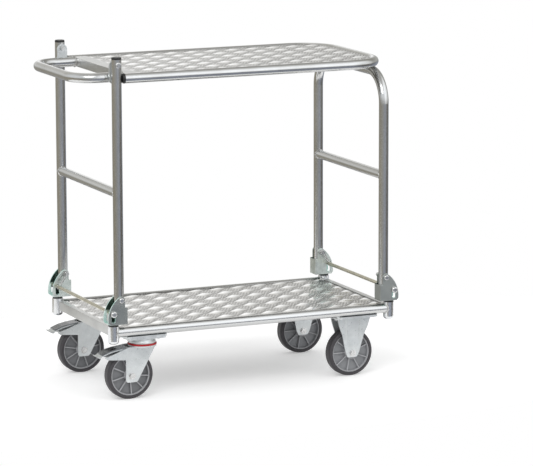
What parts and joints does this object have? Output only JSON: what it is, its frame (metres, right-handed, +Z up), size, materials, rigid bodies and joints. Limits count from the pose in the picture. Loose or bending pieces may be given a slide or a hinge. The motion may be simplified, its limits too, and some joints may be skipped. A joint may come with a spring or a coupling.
{
  "type": "folding table trolley",
  "caption": "Folding two-deck table trolley of plated steel tube: legs and bow fold onto the base, the shelf with handle flips over them, spring locks, braked swivel casters.",
  "frame": {"origin": "on the floor under the middle of the whole trolley's length and width", "axes": "+Z up, +X along the length away from the handle, +Y towards the back"},
  "size_m": [0.933, 0.4872, 0.9315],
  "materials": {
    "zinc_plated_tube": "bright zinc-plated steel tube",
    "patterned_sheet": "galvanised sheet with a raised lozenge pattern",
    "plain_sheet": "plain galvanised sheet",
    "yellow_zinc": "zinc plate with a slight yellow tint",
    "blue_zinc": "bright zinc-plated pressed steel",
    "dark_zinc": "dark plated pressed steel",
    "bright_steel": "plated fasteners and springs",
    "black_plastic": "black moulded plastic",
    "dark_grey_plastic": "dark grey moulded plastic",
    "red_plastic": "red seal ring",
    "grey_rim": "mid-grey moulded rim",
    "grey_tyre": "dark grey solid tyre"
  },
  "bodies": {
    "base": {"base_rail_front": "zinc_plated_tube", "base_rail_rear": "zinc_plated_tube", "corner_stubs_left": "zinc_plated_tube", "corner_stubs_right": "zinc_plated_tube", "base_end_bar_left": "plain_sheet", "base_end_bar_right": "plain_sheet", "base_deck": "patterned_sheet", "caster_carrier_left": "plain_sheet", "caster_carrier_right": "plain_sheet", "hinge_bracket_front_left": "yellow_zinc", "hinge_bracket_rear_left": "yellow_zinc", "hinge_bracket_front_right": "yellow_zinc", "hinge_bracket_rear_right": "yellow_zinc", "stub_plugs": "black_plastic", "base_pivot_bolts": "bright_steel", "return_springs_left": "bright_steel", "return_springs_right": "bright_steel", "caster_bolts": "bright_steel", "swivel_plate_front": "blue_zinc", "swivel_plate_rear": "blue_zinc", "fixed_fork_front": "blue_zinc", "fixed_fork_rear": "blue_zinc", "fixed_axle_bolts": "bright_steel"},
    "left_frame": {"left_leg_front": "zinc_plated_tube", "left_leg_rear": "zinc_plated_tube", "left_crossbar": "zinc_plated_tube", "leg_caps": "black_plastic", "shelf_pivot_bolts": "bright_steel"},
    "shelf": {"shelf_tube": "zinc_plated_tube", "shelf_deck": "patterned_sheet", "shelf_end_profile": "plain_sheet", "shelf_cross_strips": "plain_sheet", "handle_bow": "zinc_plated_tube", "hinge_plates": "blue_zinc", "shelf_end_stops": "black_plastic", "support_clips": "dark_grey_plastic"},
    "bow": {"right_bow": "zinc_plated_tube", "right_crossbar": "zinc_plated_tube"},
    "left_lock": {"lock_rod_left": "yellow_zinc", "lock_rod_caps_left": "yellow_zinc"},
    "right_lock": {"lock_rod_right": "yellow_zinc", "lock_rod_caps_right": "yellow_zinc"},
    "swivel_front": {"swivel_seal_front": "red_plastic", "swivel_fork_front": "blue_zinc", "swivel_axle_bolt_front": "bright_steel"},
    "pedal_front": {"brake_lever_front": "blue_zinc", "brake_pad_front": "dark_zinc"},
    "swivel_rear": {"swivel_seal_rear": "red_plastic", "swivel_fork_rear": "blue_zinc", "swivel_axle_bolt_rear": "bright_steel"},
    "pedal_rear": {"brake_lever_rear": "blue_zinc", "brake_pad_rear": "dark_zinc"},
    "wheel_front_left": {"wheel_rim_front_left": "grey_rim", "wheel_tyre_front_left": "grey_tyre"},
    "wheel_front_right": {"wheel_rim_front_right": "grey_rim", "wheel_tyre_front_right": "grey_tyre"},
    "wheel_rear_left": {"wheel_rim_rear_left": "grey_rim", "wheel_tyre_rear_left": "grey_tyre"},
    "wheel_rear_right": {"wheel_rim_rear_right": "grey_rim", "wheel_tyre_rear_right": "grey_tyre"}
  },
  "joints": [
    {"name": "left_frame_fold", "type": "hinge", "parent": "base", "child": "left_frame", "pos_m": [-0.3555, 0, 0.2805], "axis": [0, 1, 0], "range_deg": [0, 88.5]},
    {"name": "shelf_flip", "type": "hinge", "parent": "left_frame", "child": "shelf", "pos_m": [-0.3555, 0, 0.9115], "axis": [0, 1, 0], "range_deg": [-270.1, 0]},
    {"name": "bow_fold", "type": "hinge", "parent": "base", "child": "bow", "pos_m": [0.4285, 0, 0.2805], "axis": [0, 1, 0], "range_deg": [-96.5, 0]},
    {"name": "left_lock_release", "type": "slide", "parent": "base", "child": "left_lock", "axis": [0, 0, 1], "range_m": [-0.019, 0], "stiffness_N_per_m": 3000, "springref_m": 0.006, "deforming": ["return_springs_left"]},
    {"name": "right_lock_release", "type": "slide", "parent": "base", "child": "right_lock", "axis": [0, 0, 1], "range_m": [-0.019, 0], "stiffness_N_per_m": 3000, "springref_m": 0.006, "deforming": ["return_springs_right"]},
    {"name": "swivel_turn_front", "type": "hinge", "parent": "base", "child": "swivel_front", "pos_m": [-0.2775, -0.183, 0.1435], "axis": [0, 0, 1], "continuous": true},
    {"name": "brake_press_front", "type": "hinge", "parent": "swivel_front", "child": "pedal_front", "pos_m": [-0.2985, -0.183, 0.1375], "axis": [0, -1, 0], "range_deg": [0, 8]},
    {"name": "wheel_roll_front_left", "type": "hinge", "parent": "swivel_front", "child": "wheel_front_left", "pos_m": [-0.3175, -0.183, 0.066], "axis": [0, 1, 0], "continuous": true},
    {"name": "wheel_roll_front_right", "type": "hinge", "parent": "base", "child": "wheel_front_right", "pos_m": [0.3465, -0.165, 0.066], "axis": [0, 1, 0], "continuous": true},
    {"name": "swivel_turn_rear", "type": "hinge", "parent": "base", "child": "swivel_rear", "pos_m": [-0.2775, 0.183, 0.1435], "axis": [0, 0, 1], "continuous": true},
    {"name": "brake_press_rear", "type": "hinge", "parent": "swivel_rear", "child": "pedal_rear", "pos_m": [-0.2985, 0.183, 0.1375], "axis": [0, -1, 0], "range_deg": [0, 8]},
    {"name": "wheel_roll_rear_left", "type": "hinge", "parent": "swivel_rear", "child": "wheel_rear_left", "pos_m": [-0.3175, 0.183, 0.066], "axis": [0, 1, 0], "continuous": true},
    {"name": "wheel_roll_rear_right", "type": "hinge", "parent": "base", "child": "wheel_rear_right", "pos_m": [0.3465, 0.165, 0.066], "axis": [0, 1, 0], "continuous": true}
  ],
  "couplings": [
    {"joint": "shelf_flip", "follows": "left_frame_fold", "ratio": -3.0509}
  ]
}
